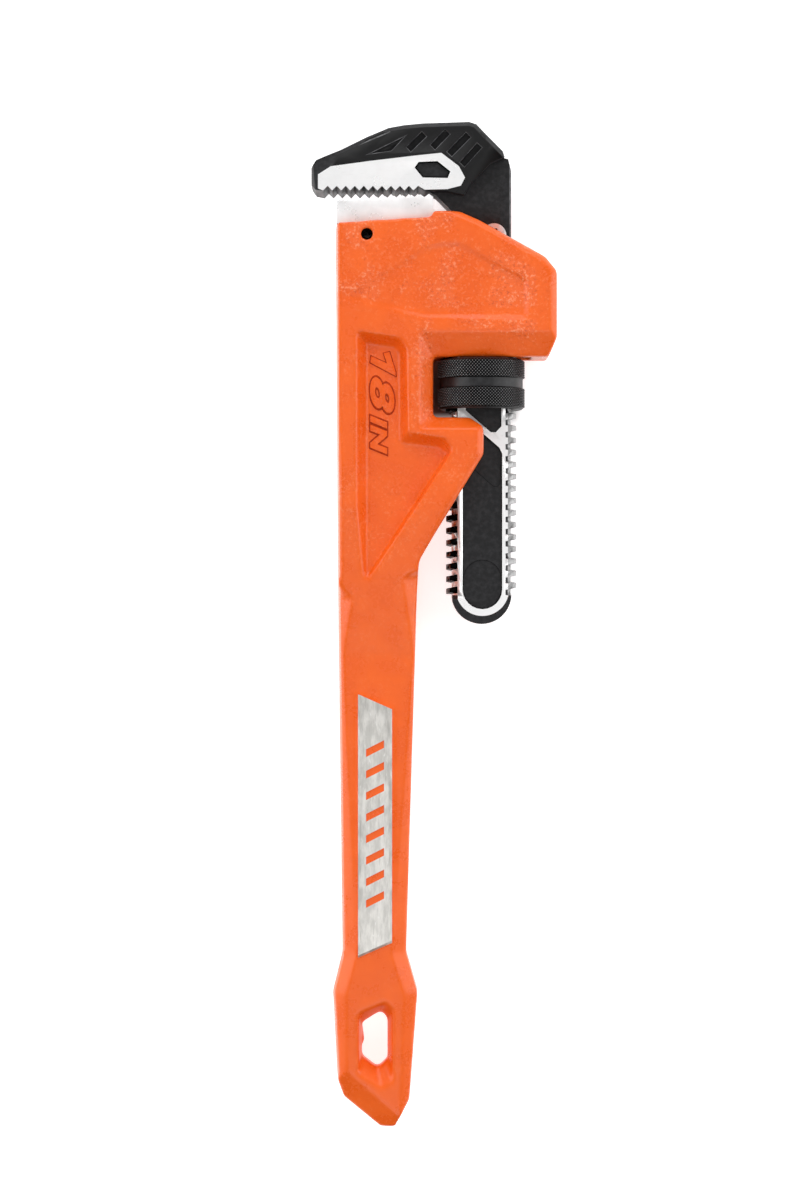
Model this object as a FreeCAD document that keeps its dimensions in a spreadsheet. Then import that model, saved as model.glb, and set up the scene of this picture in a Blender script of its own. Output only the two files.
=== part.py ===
"""An 18 inch pipe wrench: one cast handle with its head, and the pieces that come off it on a bench.

The model is drawn with x = 0 on the axis of the adjusting nut, y = 0 on the face of the window that the nut
bears on, and z = 0 on the middle plane. It is then set down on its side, with the origin under the middle
of its bounding box, x across the jaws, y along the handle towards the jaws and z up.
"""
import FreeCAD, Part
import math
import os

import Sketcher

Vector = FreeCAD.Vector

SIZES = {
    # Head of the casting
    "head_half": 17.5,
    "front_reach": 57.8,
    "back_reach": 29.5,
    "seat_front": 52.3,
    "seat_back": 54.6,
    "crown": 57.0,
    "window_tall": 23.8,
    "window_room": 1.8,
    "ear_out": 0.6,
    "neck_low": 93.5,
    "neck_front": 56.9,
    "neck_back": 25.6,
    "flank_start": 60.0,
    "head_bevel": 2.2,
    "corner_round": 5.0,
    "window_rise": 9.9,
    "window_side": 5.5,
    "window_drop": 5.0,
    "window_bevel_deep": 5.6,
    "coil_seat": 26.2,
    # Pocket and panel in the cheeks
    "pocket_deep": 5.5,
    "panel_deep": 1.25,
    "panel_slope": 1.1,
    # Handle
    "shaft_half": 9.8,
    "shaft_start": 118.0,
    "waist_front": 55.2,
    "waist_back": 29.9,
    "waist_low": 235.5,
    "grip_front": 59.0,
    "grip_back": 25.4,
    "grip_high": 251.0,
    "grip_low_front": 57.2,
    "grip_low_back": 28.6,
    "end_low": 304.6,
    "end_bevel": 11.0,
    "end_bevel_deep": 5.5,
    "strip_wide": 5.6,
    "strip_deep": 3.4,
    "pad_front": 48.9,
    "pad_back": 35.4,
    "pad_high": 133.1,
    "pad_low": 237.2,
    "pad_skew": 5.9,
    "pad_raise": 0.7,
    "pad_bevel": 4.0,
    "hole_front": 47.4,
    "hole_back": 37.3,
    "hole_high": 258.7,
    "hole_low": 281.6,
    "hole_lip_deep": 6.5,
    # Heel jaw and its pin
    "heel_half": 12.5,
    "heel_front": 57.3,
    "heel_back": 19.2,
    "heel_top_front": 62.3,
    "heel_top_back": 64.2,
    "slot_gap": 0.04,
    "tang_half": 5.0,
    "tang_deep": 10.6,
    "tang_back": 22.0,
    "pin_front": 45.3,
    "pin_height": 47.9,
    "pin_radius": 2.4,
    "pin_bore": 1.5,
    "pin_slit": 0.7,
    "pin_sunk": 1.4,
    "pin_gap": 0.02,
    "tooth_pitch": 3.6,
    "tooth_deep": 1.8,
    "heel_tooth_deep": 1.2,
    "tooth_drop": 0.5,
    # Thread
    "thread_radius": 14.0,
    "thread_pitch": 4.8,
    "thread_deep": 2.2,
    "groove_wide": 2.9,
    "groove_foot": 2.1,
    "thread_gap": 0.36,
    "thread_top": 12.0,
    # Hook jaw
    "shank_half": 7.1,
    "shank_front": 10.9,
    "shank_back": 11.7,
    "shank_low": 105.4,
    "recess_deep": 0.9,
    "sunk_deep": 0.5,
    "recess_half": 7.7,
    "hook_half": 12.5,
    "hook_toe": 67.3,
    "hook_bite": 65.9,
    "hook_top": 92.7,
    "hook_bevel": 1.8,
    "ground_raise": 0.4,
    "toe_fall": 18.0,
    "groove_deep": 0.8,
    # Adjusting nut
    "nut_radius": 17.4,
    "nut_play": 0.4,
    "nut_room": 3.6,
    "nut_chamfer": 0.8,
    "nut_band_drop": 7.9,
    "nut_band_tall": 4.0,
    "nut_band_deep": 0.6,
    # Springs and passage
    "shank_room": 0.6,
    "rock_room": 4.5,
    "leaf_gap": 0.35,
    "leaf_thick": 0.9,
    "leaf_half": 5.0,
    "leaf_low": 5.5,
    "leaf_high": 39.0,
    "leaf_room": 4.3,
    "coil_height": 24.0,
    "coil_radius": 3.3,
    "coil_wire": 0.55,
    "coil_pitch": 2.3,
    "coil_gap": 0.3,
    "coil_room": 0.5,
    "rivet_radius": 1.5,
    "rivet_boss": 2.2,
    "rivet_tall": 2.6,
}


class Size:
    """A length worked out from the sheet: its number now, and the formula that keeps it."""

    def __init__(self, number, formula):
        self.number = number
        self.formula = formula

    @staticmethod
    def of(value):
        return value if isinstance(value, Size) else Size(float(value), repr(float(value)))

    def __add__(self, other):
        other = Size.of(other)
        return Size(self.number + other.number, "(%s + %s)" % (self.formula, other.formula))

    def __sub__(self, other):
        other = Size.of(other)
        return Size(self.number - other.number, "(%s - %s)" % (self.formula, other.formula))

    def __mul__(self, other):
        other = Size.of(other)
        return Size(self.number * other.number, "(%s * %s)" % (self.formula, other.formula))

    def __truediv__(self, other):
        other = Size.of(other)
        return Size(self.number / other.number, "(%s / %s)" % (self.formula, other.formula))

    def __neg__(self):
        return Size(-self.number, "(0 - %s)" % self.formula)

    __radd__ = __add__
    __rmul__ = __mul__

    def __rsub__(self, other):
        return Size.of(other) - self


def fill_sheet(document):
    """Puts every driving size in a spreadsheet, one row each, with its name as the alias."""
    made = document.addObject("Spreadsheet::Sheet", "sizes")
    for row, (name, value) in enumerate(SIZES.items(), start=1):
        made.set("A%d" % row, name)
        made.set("B%d" % row, str(value))
        made.setAlias("B%d" % row, name)
    document.recompute()
    return made


doc = FreeCAD.newDocument("pipe_wrench")
sheet = fill_sheet(doc)


def size(name):
    return Size(float(sheet.get(name)), "sizes." + name)


def bind(thing, prop, value):
    """Sets one property and ties it to the sheet."""
    thing.setExpression(prop, Size.of(value).formula)


def body_named(name):
    made = doc.addObject("PartDesign::Body", name)
    made.Label = name
    return made


def plane(body, role):
    return next(f for f in body.Origin.OriginFeatures if f.Role == role)


def sketch_on(body, name, role="XY_Plane", lift=0.0, turn=None):
    """A sketch on one of the body's own planes, lifted off it and turned about the sketch's own y."""
    made = body.newObject("Sketcher::SketchObject", name)
    made.AttachmentSupport = [(plane(body, role), "")]
    made.MapMode = "FlatFace"
    if turn is not None:
        made.AttachmentOffset = FreeCAD.Placement(Vector(), FreeCAD.Rotation(Vector(0, 1, 0), turn.number))
        bind(made, "AttachmentOffset.Rotation.Angle", turn)
    bind(made, "AttachmentOffset.Base.z", Size.of(lift))
    return made


def hold(sketch, kind, geometry, point, value):
    """Holds one point at a signed distance from the sketch's origin."""
    number = sketch.addConstraint(Sketcher.Constraint(kind, -1, 1, geometry, point, value.number))
    sketch.setExpression("Constraints[%d]" % number, value.formula)


def polygon(sketch, corners):
    """A closed outline of straight lines through the corners, each held from the origin."""
    corners = [(Size.of(x), Size.of(y)) for x, y in corners]
    first = sketch.GeometryCount
    count = len(corners)
    spots = [Vector(x.number, y.number, 0) for x, y in corners]
    for i in range(count):
        sketch.addGeometry(Part.LineSegment(spots[i], spots[(i + 1) % count]))
    for i in range(count):
        sketch.addConstraint(Sketcher.Constraint("Coincident", first + i, 2, first + (i + 1) % count, 1))
    for i, (x, y) in enumerate(corners):
        hold(sketch, "DistanceX", first + i, 1, x)
        hold(sketch, "DistanceY", first + i, 1, y)
    return sketch


def circle(sketch, x, y, radius):
    x, y, radius = Size.of(x), Size.of(y), Size.of(radius)
    made = sketch.addGeometry(Part.Circle(Vector(x.number, y.number, 0), Vector(0, 0, 1), radius.number))
    hold(sketch, "DistanceX", made, 3, x)
    hold(sketch, "DistanceY", made, 3, y)
    number = sketch.addConstraint(Sketcher.Constraint("Radius", made, radius.number))
    sketch.setExpression("Constraints[%d]" % number, radius.formula)
    return sketch


def pad(body, name, sketch, length, midplane=True, reverse=False):
    made = body.newObject("PartDesign::Pad", name)
    made.Profile = sketch
    made.Midplane = midplane
    made.Reversed = reverse
    bind(made, "Length", length)
    doc.recompute()
    return made


def pocket(body, name, sketch, length, midplane=True, reverse=False):
    """Cuts a pocket, and makes sure that it took something away."""
    before = body.Shape.Volume
    made = body.newObject("PartDesign::Pocket", name)
    made.Profile = sketch
    made.Midplane = midplane
    made.Reversed = reverse
    bind(made, "Length", length)
    doc.recompute()
    if body.Shape.Volume >= before:
        raise RuntimeError(name + " cuts nothing")
    return made


def upright_edges(body, spots):
    """The body's straight edges along z over the given (x, y) spots."""
    found = []
    for number, edge in enumerate(body.Shape.Edges, start=1):
        if len(edge.Vertexes) != 2:
            continue
        a, b = (v.Point for v in edge.Vertexes)
        if math.hypot(a.x - b.x, a.y - b.y) > 1e-6:
            continue
        if any(math.hypot(a.x - x, a.y - y) < 1e-3 for x, y in spots):
            found.append("Edge%d" % number)
    if not found:
        raise RuntimeError("no upright edges at %s" % spots)
    return found


def face_edges(body, height, keep):
    """The body's edges lying in the plane z = height or z = -height whose middles pass keep(x, y)."""
    found = []
    for number, edge in enumerate(body.Shape.Edges, start=1):
        box = edge.BoundBox
        if box.ZLength > 1e-4 or abs(abs(box.ZMax) - height) > 1e-4:
            continue
        middle = edge.valueAt((edge.FirstParameter + edge.LastParameter) / 2)
        if keep(middle.x, middle.y):
            found.append("Edge%d" % number)
    return found


def fillet(body, name, edges, radius):
    base = body.Tip
    made = body.newObject("PartDesign::Fillet", name)
    made.Base = (base, edges)
    bind(made, "Radius", radius)
    doc.recompute()
    return made


def chamfer(body, name, edges, width, deep=None, flip=False):
    base = body.Tip
    made = body.newObject("PartDesign::Chamfer", name)
    made.Base = (base, edges)
    bind(made, "Size", width)
    if deep is not None:
        made.ChamferType = "Two distances"
        bind(made, "Size2", deep)
        made.FlipDirection = flip
    doc.recompute()
    return made


def loft(body, name, sketches, add=False):
    """A ruled loft through the sketches, added or cut away."""
    made = body.newObject("PartDesign::AdditiveLoft" if add else "PartDesign::SubtractiveLoft", name)
    made.Profile = sketches[0]
    made.Sections = sketches[1:]
    made.Ruled = True
    doc.recompute()
    return made


def mirrored(body, name, features):
    """Repeats the features on the underside."""
    made = body.newObject("PartDesign::Mirrored", name)
    made.Originals = features
    made.MirrorPlane = (plane(body, "XY_Plane"), [""])
    body.Tip = made
    doc.recompute()
    return made


def helix(body, name, sketch, axis, pitch, height, add=False):
    made = body.newObject("PartDesign::AdditiveHelix" if add else "PartDesign::SubtractiveHelix", name)
    made.Profile = sketch
    made.ReferenceAxis = (plane(body, axis), [""])
    made.Mode = "pitch-height-angle"
    bind(made, "Pitch", pitch)
    bind(made, "Height", height)
    made.LeftHanded = False
    made.Reversed = False
    doc.recompute()
    return made


def settle(body, lift_y=0):
    """Sets a finished body down on its side, over the middle of the floor."""
    across = (size("hook_toe") - size("back_reach")) / 2
    along = (size("end_low") - size("hook_top")) / 2 + lift_y
    body.Placement = FreeCAD.Placement(Vector(across.number, along.number, SIZES["head_half"]), FreeCAD.Rotation())
    bind(body, "Placement.Base.x", across)
    bind(body, "Placement.Base.y", along)
    bind(body, "Placement.Base.z", size("head_half"))


# Sizes worked out from the others
window_front = size("nut_radius") + size("window_room")
passage_half = size("shank_half") + size("shank_room")
passage_front = size("thread_radius") + size("shank_room")
leaf_front = size("thread_radius") + size("leaf_gap")
leaf_back = leaf_front + size("leaf_thick")
passage_back = leaf_back + size("leaf_room")
channel_front = size("thread_radius") + size("rock_room")
nut_low = size("window_tall") - size("nut_room")
thread_foot = size("thread_radius") - size("thread_deep")
end_radius = thread_foot
end_centre = size("shank_low") - end_radius
face_half = size("shank_half") - size("recess_deep")


def rim_of_head(x, y):
    """Whether a spot of the head's outline is bevelled: not at the heel seat, nor inside the window."""
    at_seat = y > 50.0 and x < -9.5
    in_window = -SIZES["window_tall"] - 0.5 < y < 0.5 and x < SIZES["back_reach"] - 4.5
    return y > -SIZES["neck_low"] and not at_seat and not in_window


FRONT_STRIP = [
    ("neck_front", "neck_low", -6.0, 0.05),
    ("neck_front", "neck_low", 1.5, 1.0),
    ("waist_front", "waist_low", 0.0, 1.0),
    ("grip_front", "grip_high", 0.0, 1.0),
    ("grip_low_front", "end_low", -19.6, 1.0),
    ("grip_low_front", "end_low", 8.0, 1.0),
]
BACK_STRIP = [
    ("neck_back", "neck_low", -9.0, 0.05),
    ("neck_back", "neck_low", -7.0, 1.0),
    ("waist_back", "waist_low", 0.0, 1.0),
    ("grip_back", "grip_high", 0.0, 1.0),
    ("grip_low_back", "end_low", -11.0, 1.0),
    ("grip_low_back", "end_low", 8.0, 1.0),
]


def strip(body, name, stations):
    """The long sloping strip along one edge of the handle, cut through a triangle at each station."""
    inward = 1 if stations is FRONT_STRIP else -1
    sections = []
    for number, (edge, depth, lower, part) in enumerate(stations):
        section = sketch_on(body, "%s_%d" % (name, number), "XZ_Plane", size(depth) + lower)
        fall = surface_drop(size(depth) + lower)
        wide = size("strip_wide") * part
        polygon(section, [
            (-size(edge) + wide * inward, size("shaft_half") + fall),
            (-size(edge) - 12.0 * inward, size("shaft_half") + fall),
            (-size(edge) - 12.0 * inward, size("shaft_half") + fall - size("strip_deep") * part * 2.0),
            (-size(edge), size("shaft_half") + fall - size("strip_deep") * part),
        ])
        sections.append(section)
    return loft(body, name, sections)


def surface_drop(depth):
    """How far the handle's face stands above its thickness at a depth below the window."""
    if depth.number >= SIZES["shaft_start"]:
        return Size.of(0.0)
    slope = (size("head_half") - size("shaft_half")) / (size("shaft_start") - size("flank_start"))
    return (size("shaft_start") - depth) * slope


def end_slope(body):
    """The broad bevel across the slanting end of the grip."""
    sections = []
    for number, along in enumerate((-12.0, 40.0)):
        section = sketch_on(body, "end_slope_%d" % number, "YZ_Plane", -size("grip_low_front") + 2.6 + along)
        edge = -size("end_low") + 12.0 - along * 0.82
        polygon(section, [
            (edge + size("end_bevel") * 1.3, size("shaft_half")),
            (edge, size("shaft_half") - size("end_bevel_deep")),
            (edge - size("end_bevel") * 1.3, size("shaft_half") - size("end_bevel_deep") * 2.0),
            (edge - size("end_bevel") * 1.3, size("shaft_half") + 1.0),
        ])
        sections.append(section)
    return loft(body, "end_slope", sections)


def funnel(body, name, wide, narrow, top, foot):
    """A pocket whose walls slope from a wide outline at the top to a narrow one at its foot."""
    upper = sketch_on(body, name + "_wide", lift=top)
    polygon(upper, wide)
    lower = sketch_on(body, name + "_narrow", lift=foot)
    polygon(lower, narrow)
    return loft(body, name, [upper, lower])


def panel(body):
    """The shallow panel above the window, deepest at the back and running out towards the front."""
    upper = sketch_on(body, "panel_wide", lift=size("head_half"))
    polygon(upper, [(-55.6, 22.9), (-22.8, 14.8), (18.2, 14.2), (18.2, 30.0), (-9.7, 45.0), (-21.0, 43.4)])
    lower = sketch_on(body, "panel_narrow", lift=size("head_half") - size("panel_deep"), turn=size("panel_slope"))
    polygon(lower, [(-52.0, 22.8), (-22.0, 16.0), (16.4, 15.8), (16.4, 29.2), (-10.4, 43.4), (-20.0, 42.6)])
    return loft(body, "panel", [upper, lower])


def hang_hole():
    """The corners of the hole to hang the tool by."""
    return [
        (-size("hole_front"), -size("hole_high") - 4.8),
        (-size("hole_back") - 2.3, -size("hole_high")),
        (-size("hole_back"), -size("hole_high") - 3.2),
        (-size("hole_back"), -size("hole_low") + 3.8),
        (-size("hole_back") - 3.9, -size("hole_low")),
        (-size("hole_front"), -size("hole_low") + 4.8),
    ]


def pad_outline(shrink):
    """The bare pad on the handle, its lower end drawn up by shrink."""
    return [
        (-size("pad_front"), -size("pad_high")),
        (-size("pad_back"), -size("pad_high") - size("pad_skew")),
        (-size("pad_back"), -size("pad_low") + size("pad_skew") + shrink),
        (-size("pad_front"), -size("pad_low") + shrink),
    ]


def make_handle():
    """The cast head and handle, with everything that is cut into them."""
    body = body_named("handle")
    outline = sketch_on(body, "handle_outline")
    polygon(outline, [
        (-size("front_reach"), size("seat_front")),
        (-size("heel_back") - 0.8, size("seat_back")),
        (-size("heel_back") + 0.2, size("crown")),
        (-9.0, size("crown")),
        (-1.0, size("crown") - 3.5),
        (size("back_reach") - 4.7, size("crown") - 17.8),
        (size("back_reach"), size("crown") - 23.5),
        (size("back_reach"), 7.5),
        (size("back_reach") - 3.2, 0.0),
        (-window_front, 0.0),
        (-window_front, -size("window_tall")),
        (size("ear_out") - 5.6, -size("window_tall")),
        (size("ear_out"), -size("window_tall") - 4.0),
        (size("ear_out"), -38.5),
        (-18.7, -70.0),
        (-size("neck_back") + 0.8, -size("neck_low") + 13.0),
        (-size("neck_back"), -size("neck_low")),
        (-size("waist_back"), -size("waist_low")),
        (-size("grip_back"), -size("grip_high")),
        (-size("grip_low_back"), -size("end_low") + 11.0),
        (-34.5, -size("end_low")),
        (-40.0, -size("end_low")),
        (-size("grip_low_front") + 2.6, -size("end_low") + 12.0),
        (-size("grip_low_front"), -size("end_low") + 19.6),
        (-size("grip_front"), -size("grip_high")),
        (-size("waist_front"), -size("waist_low")),
        (-size("neck_front"), -size("neck_low")),
    ])
    pad(body, "block", outline, size("head_half") * 2)
    fillet(body, "soft_corners", upright_edges(body, [
        (SIZES["back_reach"] - 4.7, SIZES["crown"] - 17.8),
        (SIZES["back_reach"], SIZES["crown"] - 23.5),
        (SIZES["back_reach"], 7.5),
        (SIZES["ear_out"], -38.5),
        (SIZES["ear_out"], -SIZES["window_tall"] - 4.0),
        (-1.0, SIZES["crown"] - 3.5),
    ]), 3.0)
    fillet(body, "grip_corners", upright_edges(body, [
        (-SIZES["neck_back"] + 0.8, -SIZES["neck_low"] + 13.0),
        (-SIZES["waist_back"], -SIZES["waist_low"]),
        (-SIZES["grip_back"], -SIZES["grip_high"]),
        (-SIZES["grip_front"], -SIZES["grip_high"]),
        (-SIZES["waist_front"], -SIZES["waist_low"]),
    ]), 8.0)
    chamfer(body, "head_edge", face_edges(body, SIZES["head_half"], rim_of_head), size("head_bevel"))
    thin = sketch_on(body, "thinning", "YZ_Plane")
    low = -size("end_low") - 5.0
    polygon(thin, [
        (-size("flank_start"), size("head_half")),
        (-size("shaft_start"), size("shaft_half")),
        (-size("grip_high") + 10.0, size("shaft_half")),
        (low, size("shaft_half") - 1.6),
        (low, size("head_half") + 1.0),
        (-size("flank_start"), size("head_half") + 1.0),
    ])
    side = pocket(body, "thin_top", thin, size("front_reach") * 3)
    mirrored(body, "thin_both", [side])

    cuts = [end_slope(body), strip(body, "front_strip", FRONT_STRIP), strip(body, "back_strip", BACK_STRIP)]
    cuts.append(funnel(body, "window_funnel", [
        (-window_front - size("window_side"), size("window_rise")),
        (45.0, size("window_rise")),
        (45.0, -size("window_tall") - size("window_drop")),
        (-window_front - size("window_side"), -size("window_tall") - size("window_drop")),
    ], [
        (-window_front, 0.0),
        (45.0, 0.0),
        (45.0, -size("window_tall")),
        (-window_front, -size("window_tall")),
    ], size("head_half"), size("head_half") - size("window_bevel_deep")))
    cuts.append(funnel(body, "size_pocket", [
        (-49.4, 9.9), (-32.3, 7.1), (-29.5, 2.8), (-28.9, -30.1),
        (-14.6, -32.3), (-11.7, -37.0), (-45.4, -89.6), (-49.4, -88.0),
    ], [
        (-45.4, 5.6), (-34.2, 3.9), (-32.4, 1.0), (-32.2, -33.6),
        (-16.6, -35.4), (-13.4, -38.0), (-45.0, -87.0), (-45.4, -85.0),
    ], size("head_half"), size("head_half") - size("pocket_deep")))
    cuts.append(panel(body))
    cuts.append(funnel(body, "hole_funnel", [
        (-size("hole_front") - 1.5, -size("hole_high") - 0.1),
        (-size("hole_back") - 0.8, -size("hole_high") + 4.2),
        (-size("hole_back") + 2.3, -size("hole_high") + 1.6),
        (-size("hole_back") + 2.5, -size("hole_low") - 6.3),
        (-size("hole_back") - 1.8, -size("hole_low") - 8.9),
        (-size("hole_front") - 1.5, -size("hole_low") - 3.1),
    ], hang_hole(), size("shaft_half"), size("shaft_half") - size("hole_lip_deep")))
    mirrored(body, "both_cheeks", cuts)

    through = sketch_on(body, "hanging_hole")
    polygon(through, hang_hole())
    pocket(body, "hanging", through, size("head_half") * 2)
    fillet(body, "hole_corners", upright_edges(body, [
        (Size.of(x).number, Size.of(y).number) for x, y in hang_hole()]), 2.0)
    low_pad = sketch_on(body, "pad_foot", lift=size("shaft_half") - 0.5)
    polygon(low_pad, pad_outline(0.0))
    high_pad = sketch_on(body, "pad_face", lift=size("shaft_half") + size("pad_raise"))
    polygon(high_pad, pad_outline(size("pad_bevel")))
    mirrored(body, "pads", [loft(body, "name_pad", [low_pad, high_pad], add=True)])

    passage = sketch_on(body, "passage_plan")
    polygon(passage, [
        (-passage_front, -1.0),
        (passage_back, -1.0),
        (passage_back, size("crown") + 5.0),
        (-passage_front, size("crown") + 5.0),
    ])
    pocket(body, "passage", passage, passage_half * 2)
    channel = sketch_on(body, "channel_plan")
    polygon(channel, [
        (-channel_front, -size("window_tall") + 1.0),
        (-channel_front, -size("neck_low")),
        (size("ear_out") + 5.0, -size("neck_low")),
        (size("ear_out") + 5.0, -size("window_tall") + 1.0),
    ])
    pocket(body, "channel", channel, passage_half * 2)
    slot = sketch_on(body, "tang_slot")
    polygon(slot, [
        (-size("front_reach") - 1.0, size("seat_front") - size("tang_deep") - size("slot_gap")),
        (-size("tang_back") + size("slot_gap"), size("seat_front") - size("tang_deep") - size("slot_gap")),
        (-size("tang_back") + size("slot_gap"), size("crown") + 1.0),
        (-size("front_reach") - 1.0, size("crown") + 1.0),
    ])
    pocket(body, "tang_slot_cut", slot, (size("tang_half") + size("slot_gap")) * 2)
    pin_hole = sketch_on(body, "pin_hole")
    circle(pin_hole, -size("pin_front"), size("pin_height"), size("pin_radius") + size("pin_gap"))
    pocket(body, "pin_hole_cut", pin_hole, size("head_half") * 2 + 2.0)
    seat = sketch_on(body, "coil_seat", "YZ_Plane", passage_back - 2.0)
    circle(seat, size("coil_height"), 0.0, size("coil_radius") + size("coil_wire") + size("coil_room"))
    pocket(body, "coil_seat_cut", seat, size("coil_seat") - passage_back + 2.0, midplane=False, reverse=True)
    settle(body)
    return body


def teeth(start, end, low, high, count, deep):
    """A row of pointed teeth from start to end, their tips on the line from low to high."""
    corners = []
    step = (end - start) / count
    rise = (high - low) / count
    for number in range(count):
        corners.append((start + step * number, low + rise * number - deep))
        corners.append((start + step * (number + 0.5), low + rise * (number + 0.5)))
    corners.append((end, high - deep))
    return corners


def make_heel_jaw():
    """The renewable jaw that drops into the slot in the head."""
    body = body_named("heel_jaw")
    outline = sketch_on(body, "heel_outline")
    count = round((SIZES["heel_front"] - SIZES["heel_back"]) / SIZES["tooth_pitch"])
    row = teeth(-size("heel_front"), -size("heel_back"), size("heel_top_front"), size("heel_top_back"), count,
                size("heel_tooth_deep"))
    polygon(outline, row[::-1] + [
        (-size("heel_front"), size("seat_front") + 0.04),
        (-size("heel_back") - 1.2, size("seat_back") + 0.02),
        (-size("heel_back") + 0.0, size("seat_back") + 1.0),
        (-size("heel_back") + 0.05, size("crown") - 0.4),
        (-size("heel_back") + 0.9, size("crown") + 0.4),
        (-size("heel_back") + 0.2, size("crown") + 1.4),
    ])
    pad(body, "heel_block", outline, size("heel_half") * 2)
    tang = sketch_on(body, "tang_outline")
    polygon(tang, [
        (-size("heel_front"), size("seat_front") - size("tang_deep")),
        (-size("tang_back"), size("seat_front") - size("tang_deep")),
        (-size("tang_back"), size("seat_back") + 2.0),
        (-size("heel_front"), size("seat_front") + 2.0),
    ])
    pad(body, "tang", tang, size("tang_half") * 2)
    hole = sketch_on(body, "tang_hole")
    circle(hole, -size("pin_front"), size("pin_height"), size("pin_radius") + size("pin_gap"))
    pocket(body, "tang_hole_cut", hole, size("heel_half") * 2)
    settle(body)
    return body


def make_heel_jaw_pin():
    """The rolled spring pin that keeps the heel jaw in, slit along its length."""
    body = body_named("heel_jaw_pin")
    ring = sketch_on(body, "pin_ring")
    circle(ring, -size("pin_front"), size("pin_height"), size("pin_radius"))
    pad(body, "pin", ring, (size("head_half") - size("pin_sunk")) * 2)
    bore = sketch_on(body, "pin_bore")
    circle(bore, -size("pin_front"), size("pin_height"), size("pin_bore"))
    pocket(body, "pin_bore_cut", bore, size("head_half") * 2)
    slit = sketch_on(body, "pin_slit")
    polygon(slit, [
        (-size("pin_front"), size("pin_height") - size("pin_slit") / 2),
        (-size("pin_front") + size("pin_radius") + 1.0, size("pin_height") - size("pin_slit") / 2),
        (-size("pin_front") + size("pin_radius") + 1.0, size("pin_height") + size("pin_slit") / 2),
        (-size("pin_front"), size("pin_height") + size("pin_slit") / 2),
    ])
    pocket(body, "pin_slit_cut", slit, size("head_half") * 2)
    settle(body)
    return body


def make_adjusting_nut():
    """The knurled ring with the thread that drives the hook jaw."""
    body = body_named("adjusting_nut")
    tall = nut_low - size("nut_play")
    disc = sketch_on(body, "nut_disc", "XZ_Plane", size("nut_play"))
    circle(disc, 0.0, 0.0, size("nut_radius"))
    pad(body, "nut_blank", disc, tall, midplane=False)
    rims = ["Edge%d" % n for n, e in enumerate(body.Shape.Edges, start=1) if isinstance(e.Curve, Part.Circle)]
    chamfer(body, "nut_edges", rims, size("nut_chamfer"))
    bore = sketch_on(body, "nut_bore", "XZ_Plane", nut_low + 1.0)
    circle(bore, 0.0, 0.0, thread_foot + size("thread_gap"))
    pocket(body, "nut_bore_cut", bore, tall + 2.0, midplane=False)
    band = sketch_on(body, "nut_band", "XY_Plane")
    polygon(band, [
        (size("nut_radius") - size("nut_band_deep"), -size("nut_band_drop")),
        (size("nut_radius") + 1.0, -size("nut_band_drop")),
        (size("nut_radius") + 1.0, -size("nut_band_drop") - size("nut_band_tall")),
        (size("nut_radius") - size("nut_band_deep"), -size("nut_band_drop") - size("nut_band_tall")),
    ])
    ring = body.newObject("PartDesign::Groove", "nut_band_cut")
    ring.Profile = band
    ring.ReferenceAxis = (plane(body, "Y_Axis"), [""])
    ring.Angle = 360.0
    doc.recompute()
    profile = sketch_on(body, "nut_thread", "XY_Plane")
    start = thread_start() + size("thread_pitch") * 14.5
    polygon(profile, groove_profile(
        start, thread_foot, size("thread_radius") + size("thread_gap"),
        size("thread_pitch") - size("groove_foot") + size("thread_gap") * 2.1,
        size("thread_pitch") - size("groove_wide") + size("thread_gap") * 2.1))
    helix(body, "nut_thread_cut", profile, "Y_Axis", size("thread_pitch"), size("thread_pitch") * 7)
    settle(body)
    return body


def thread_start():
    """The height of the thread's groove where it crosses the back of the shank, below the shank's end."""
    return Size.of(-97.2)


def groove_profile(height, near, far, foot, mouth):
    """A thread's profile at the back of the shank: foot wide at near, mouth wide at far."""
    return [
        (near, height - foot / 2),
        (far, height - mouth / 2),
        (far, height + mouth / 2),
        (near, height + foot / 2),
    ]


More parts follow.
